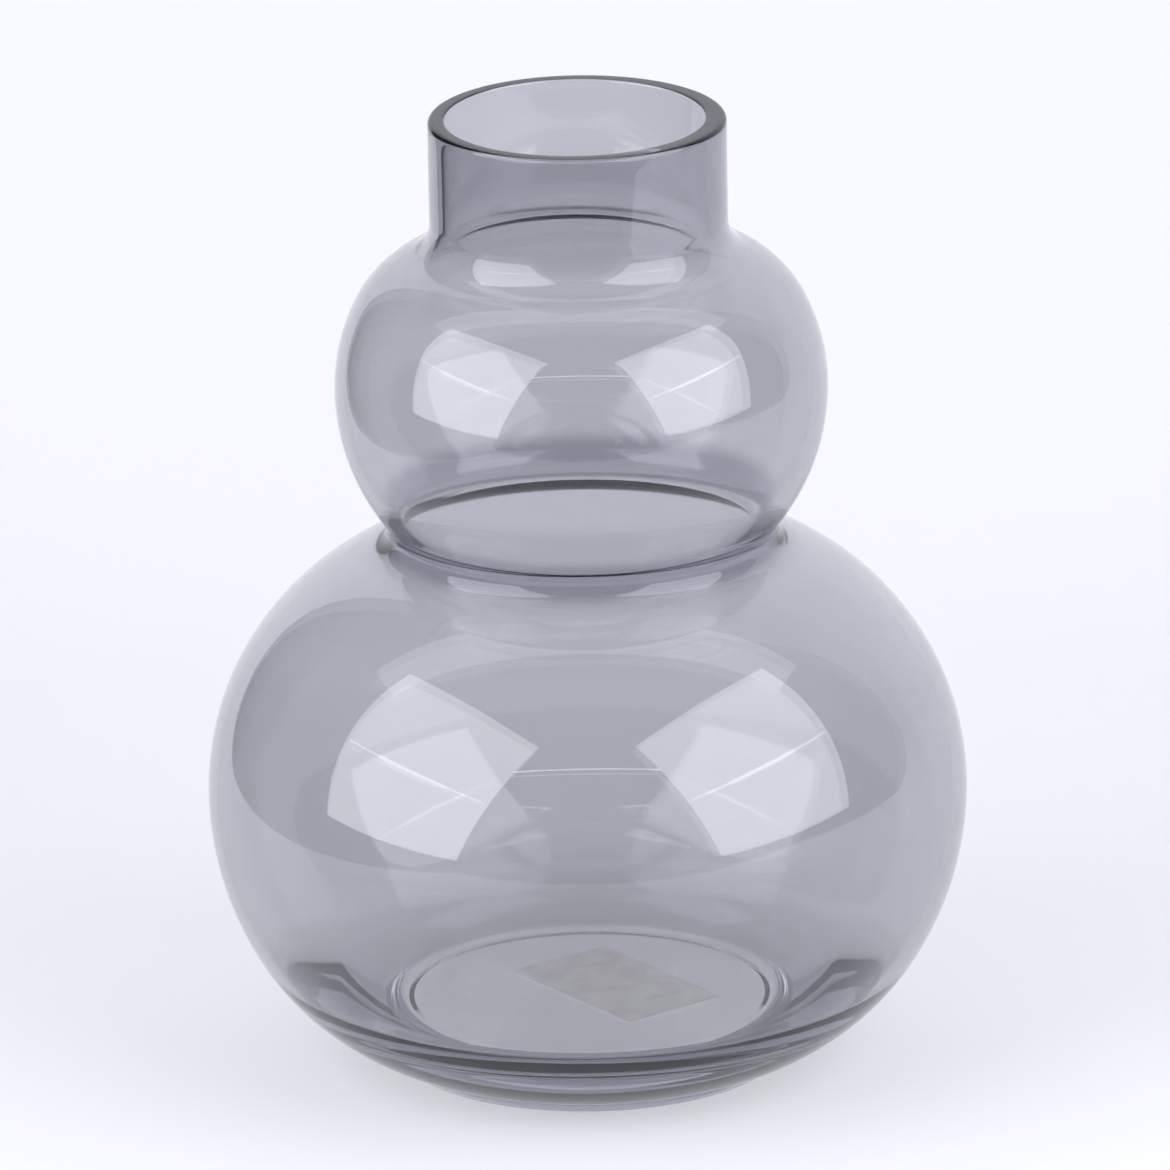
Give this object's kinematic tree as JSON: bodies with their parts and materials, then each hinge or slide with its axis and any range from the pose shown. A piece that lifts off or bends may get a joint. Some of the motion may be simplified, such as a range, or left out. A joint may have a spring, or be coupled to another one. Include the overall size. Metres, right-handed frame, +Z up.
{
  "type": "double gourd vase",
  "caption": "Double gourd glass vase: a wide lower globe and a smaller bulb joined by a soft waist, with a straight cut neck to hold stems, standing on a thick clear base.",
  "frame": {"origin": "centre of the foot, on the surface that the vase stands on", "axes": "+Z up along the axis of the vase, towards the mouth; +X to the viewer's right and +Y away from the viewer in the picture"},
  "size_m": [0.1946, 0.1946, 0.25],
  "materials": {
    "smoked_glass": "clear soda-lime glass, sprayed outside with a see-through smoke-violet lacquer",
    "label_paper": "uncoated pale paper"
  },
  "bodies": {
    "root": {"glass_vase": "smoked_glass", "base_label": "label_paper"}
  },
  "joints": []
}
